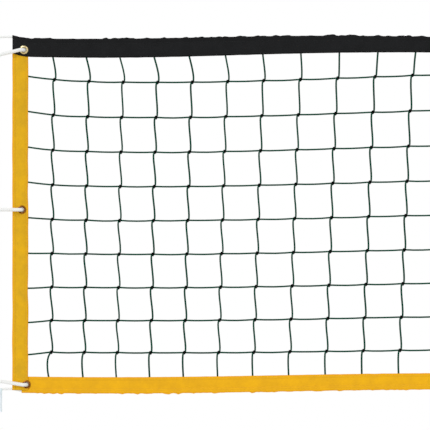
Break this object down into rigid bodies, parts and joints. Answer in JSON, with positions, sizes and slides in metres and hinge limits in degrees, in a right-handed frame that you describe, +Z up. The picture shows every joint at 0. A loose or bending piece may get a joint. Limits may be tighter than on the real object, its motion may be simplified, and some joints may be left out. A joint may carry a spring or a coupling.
{
  "type": "volleyball net on poles",
  "caption": "Full-width volleyball net with taped edges, lashed to two telescoping floor posts with a hand winch.",
  "frame": {"origin": "on the floor, midway between the two posts and in the plane of the net", "axes": "+X along the net, +Z up, -Y towards the spectator who sees the lashings in front of the tapes"},
  "size_m": [11.5, 0.5, 2.4437],
  "materials": {
    "powder_coated_steel": "satin powder coat",
    "zinc_plated_steel": "zinc plated",
    "nylon": "moulded",
    "anodised_aluminium": "anodised",
    "green_twine": "twisted and knotted twine",
    "black_tape": "coated cloth tape",
    "yellow_tape": "coated cloth tape",
    "white_rope": "braided",
    "brass_eyelet": "pressed"
  },
  "bodies": {
    "ground_posts": {"base_plate_left": "powder_coated_steel", "base_plate_right": "powder_coated_steel", "sleeve_tube_left": "powder_coated_steel", "sleeve_tube_right": "powder_coated_steel", "mast_bush_left": "nylon", "mast_bush_right": "nylon", "clamp_collar_left": "anodised_aluminium", "clamp_collar_right": "anodised_aluminium", "anchor_bolt_left_1": "zinc_plated_steel", "anchor_bolt_left_2": "zinc_plated_steel", "anchor_bolt_left_3": "zinc_plated_steel", "anchor_bolt_left_4": "zinc_plated_steel", "anchor_bolt_right_1": "zinc_plated_steel", "anchor_bolt_right_2": "zinc_plated_steel", "anchor_bolt_right_3": "zinc_plated_steel", "anchor_bolt_right_4": "zinc_plated_steel"},
    "net_and_masts": {"head_pin_left": "zinc_plated_steel", "head_pin_right": "zinc_plated_steel", "winch_frame": "zinc_plated_steel", "winch_u_bolt_upper": "zinc_plated_steel", "winch_u_bolt_lower": "zinc_plated_steel", "mast_left": "anodised_aluminium", "mast_right": "anodised_aluminium", "mast_head_left": "anodised_aluminium", "mast_head_right": "anodised_aluminium", "netting": "green_twine", "top_tape": "black_tape", "bottom_tape": "yellow_tape", "side_tape_left": "yellow_tape", "side_tape_right": "yellow_tape", "head_rope": "white_rope", "foot_rope": "white_rope", "foot_rope_hitch": "white_rope", "foot_rope_tail": "white_rope", "lashing_top_left": "white_rope", "lashing_middle_left": "white_rope", "lashing_bottom_left": "white_rope", "lashing_top_right": "white_rope", "lashing_middle_right": "white_rope", "lashing_bottom_right": "white_rope", "grommet_top_left": "brass_eyelet", "grommet_middle_left": "brass_eyelet", "grommet_bottom_left": "brass_eyelet", "grommet_top_right": "brass_eyelet", "grommet_middle_right": "brass_eyelet", "grommet_bottom_right": "brass_eyelet"},
    "knob_left": {"clamp_knob_left": "nylon"},
    "knob_right": {"clamp_knob_right": "nylon"},
    "sheave_wheel": {"sheave": "nylon"},
    "drum": {"winch_drum": "zinc_plated_steel", "drum_gear": "zinc_plated_steel", "ratchet_wheel": "zinc_plated_steel", "drum_winding": "white_rope"},
    "crank": {"pinion_shaft": "zinc_plated_steel", "crank_arm": "zinc_plated_steel"},
    "grip": {"crank_grip": "nylon"},
    "pawl": {"ratchet_pawl": "zinc_plated_steel"}
  },
  "joints": [
    {"name": "height_adjust", "type": "slide", "parent": "ground_posts", "child": "net_and_masts", "axis": [0, 0, 1], "range_m": [-0.33, 0]},
    {"name": "knob_left_turn", "type": "hinge", "parent": "ground_posts", "child": "knob_left", "pos_m": [-5.5, -0.07, 0.977], "axis": [0, -1, 0], "range_deg": [0, 720]},
    {"name": "knob_right_turn", "type": "hinge", "parent": "ground_posts", "child": "knob_right", "pos_m": [5.5, -0.07, 0.977], "axis": [0, -1, 0], "range_deg": [0, 720]},
    {"name": "drum_turn", "type": "hinge", "parent": "net_and_masts", "child": "drum", "pos_m": [-5.59, 0, 1.78], "axis": [0, 1, 0], "continuous": true},
    {"name": "crank_turn", "type": "hinge", "parent": "net_and_masts", "child": "crank", "pos_m": [-5.59, 0, 1.7275], "axis": [0, 1, 0], "continuous": true},
    {"name": "sheave_turn", "type": "hinge", "parent": "net_and_masts", "child": "sheave_wheel", "pos_m": [-5.536, 0, 2.403], "axis": [0, 1, 0], "continuous": true},
    {"name": "grip_spin", "type": "hinge", "parent": "crank", "child": "grip", "pos_m": [-5.59, -0.106, 1.5775], "axis": [0, 1, 0], "continuous": true},
    {"name": "pawl_lift", "type": "hinge", "parent": "net_and_masts", "child": "pawl", "pos_m": [-5.622, 0.0445, 1.806], "axis": [0, -1, 0], "range_deg": [0, 20], "stiffness_Nm_per_rad": 0.05, "springref_deg": -17.19}
  ],
  "couplings": [
    {"joint": "crank_turn", "follows": "drum_turn", "ratio": -4},
    {"joint": "sheave_turn", "follows": "drum_turn", "ratio": -0.58823}
  ]
}
